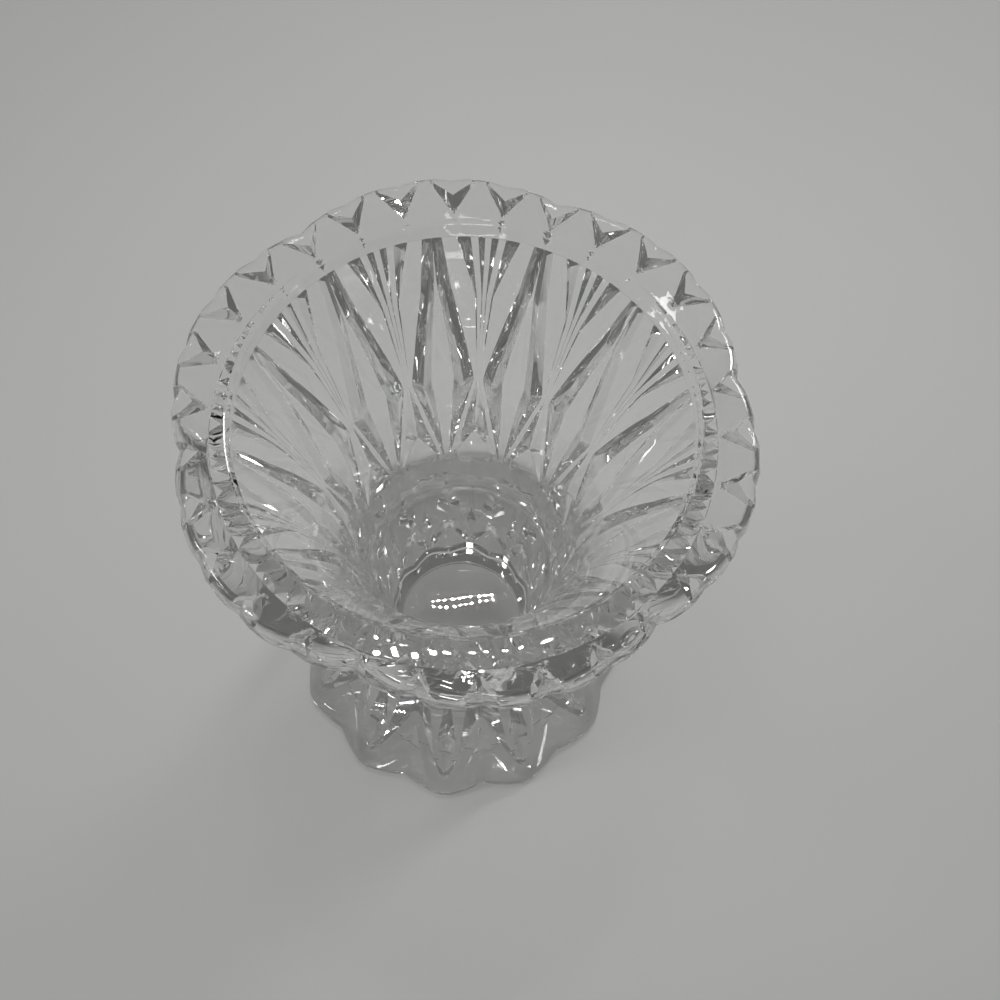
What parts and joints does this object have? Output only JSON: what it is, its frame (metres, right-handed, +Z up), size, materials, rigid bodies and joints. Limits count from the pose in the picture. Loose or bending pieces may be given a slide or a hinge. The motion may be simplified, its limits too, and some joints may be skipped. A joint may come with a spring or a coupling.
{
  "type": "toothpick holder",
  "caption": "Clear glass holder with a scalloped, toothed rim, a flared bowl cut with diamonds and fans, a plain waist and a pointed, fluted foot; open at the top for toothpicks.",
  "frame": {"origin": "middle of the underside, on the table", "axes": "+Z up along the axis of the holder; a rim lobe and a diamond point along +Y"},
  "size_m": [0.0516, 0.0534, 0.064],
  "materials": {
    "clear_glass": "fire-polished clear pressed glass"
  },
  "bodies": {
    "root": {"bowl": "clear_glass", "waist_collar": "clear_glass", "foot": "clear_glass"}
  },
  "joints": []
}
